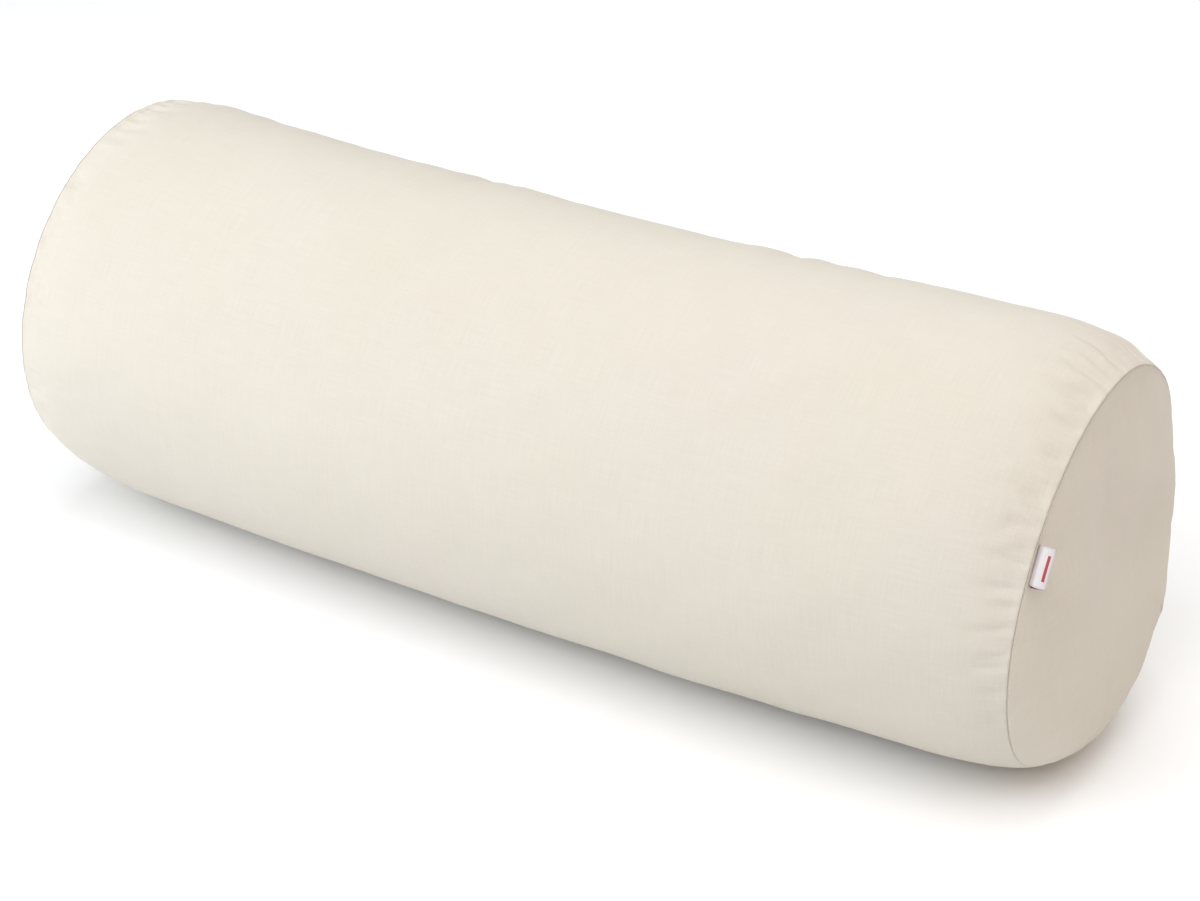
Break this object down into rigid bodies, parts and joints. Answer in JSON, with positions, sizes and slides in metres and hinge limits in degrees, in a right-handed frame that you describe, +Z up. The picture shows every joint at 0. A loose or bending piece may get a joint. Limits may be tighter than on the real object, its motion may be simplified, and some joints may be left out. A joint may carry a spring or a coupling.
{
  "type": "bolster pillow",
  "caption": "Round bolster pillow: a zipped cloth cover with round end panels over a sewn, stuffed inner cushion, for propping the body during massage or yoga.",
  "frame": {"origin": "centre of the overall box, on the surface the bolster lies on", "axes": "+X along the bolster, towards the end with the side label; +Z up; +Y to the back, where the zip is"},
  "size_m": [0.612, 0.22, 0.215],
  "materials": {
    "cover_cotton": "plain-weave natural cotton",
    "sewing_thread": "cotton sewing thread",
    "label_satin": "folded white satin ribbon, blank",
    "zip_tape": "woven herringbone tape",
    "zip_coil": "moulded coil",
    "zip_metal": "plated metal",
    "inner_calico": "unbleached calico",
    "inner_thread": "cotton sewing thread",
    "filling": "loose husk filling"
  },
  "bodies": {
    "bolster": {"cover_tube": "cover_cotton", "cover_end_label": "cover_cotton", "cover_end_plain": "cover_cotton", "cover_seam_thread_label": "sewing_thread", "cover_seam_thread_plain": "sewing_thread", "zip_stitching": "sewing_thread", "side_label": "label_satin", "zip_tape_upper": "zip_tape", "zip_tape_lower": "zip_tape", "zip_coil_upper": "zip_coil", "zip_coil_lower": "zip_coil", "zip_top_stop_upper": "zip_metal", "zip_top_stop_lower": "zip_metal", "zip_bottom_stop": "zip_metal", "inner_tube": "inner_calico", "inner_end_label": "inner_calico", "inner_end_plain": "inner_calico", "inner_seam_thread_label": "inner_thread", "inner_seam_thread_plain": "inner_thread", "inner_closing_stitch": "inner_thread", "filling": "filling"},
    "zip_slider": {"zip_slider": "zip_metal"},
    "zip_pull": {"zip_pull": "zip_metal"}
  },
  "joints": [
    {"name": "zip_slider_slide", "type": "slide", "parent": "bolster", "child": "zip_slider", "axis": [-1, 0, 0], "range_m": [0, 0.427]},
    {"name": "zip_pull_hinge", "type": "hinge", "parent": "zip_slider", "child": "zip_pull", "pos_m": [0.2137, 0.10446, 0.14827], "axis": [0, 0.3827, -0.9239], "range_deg": [0, 170]}
  ]
}
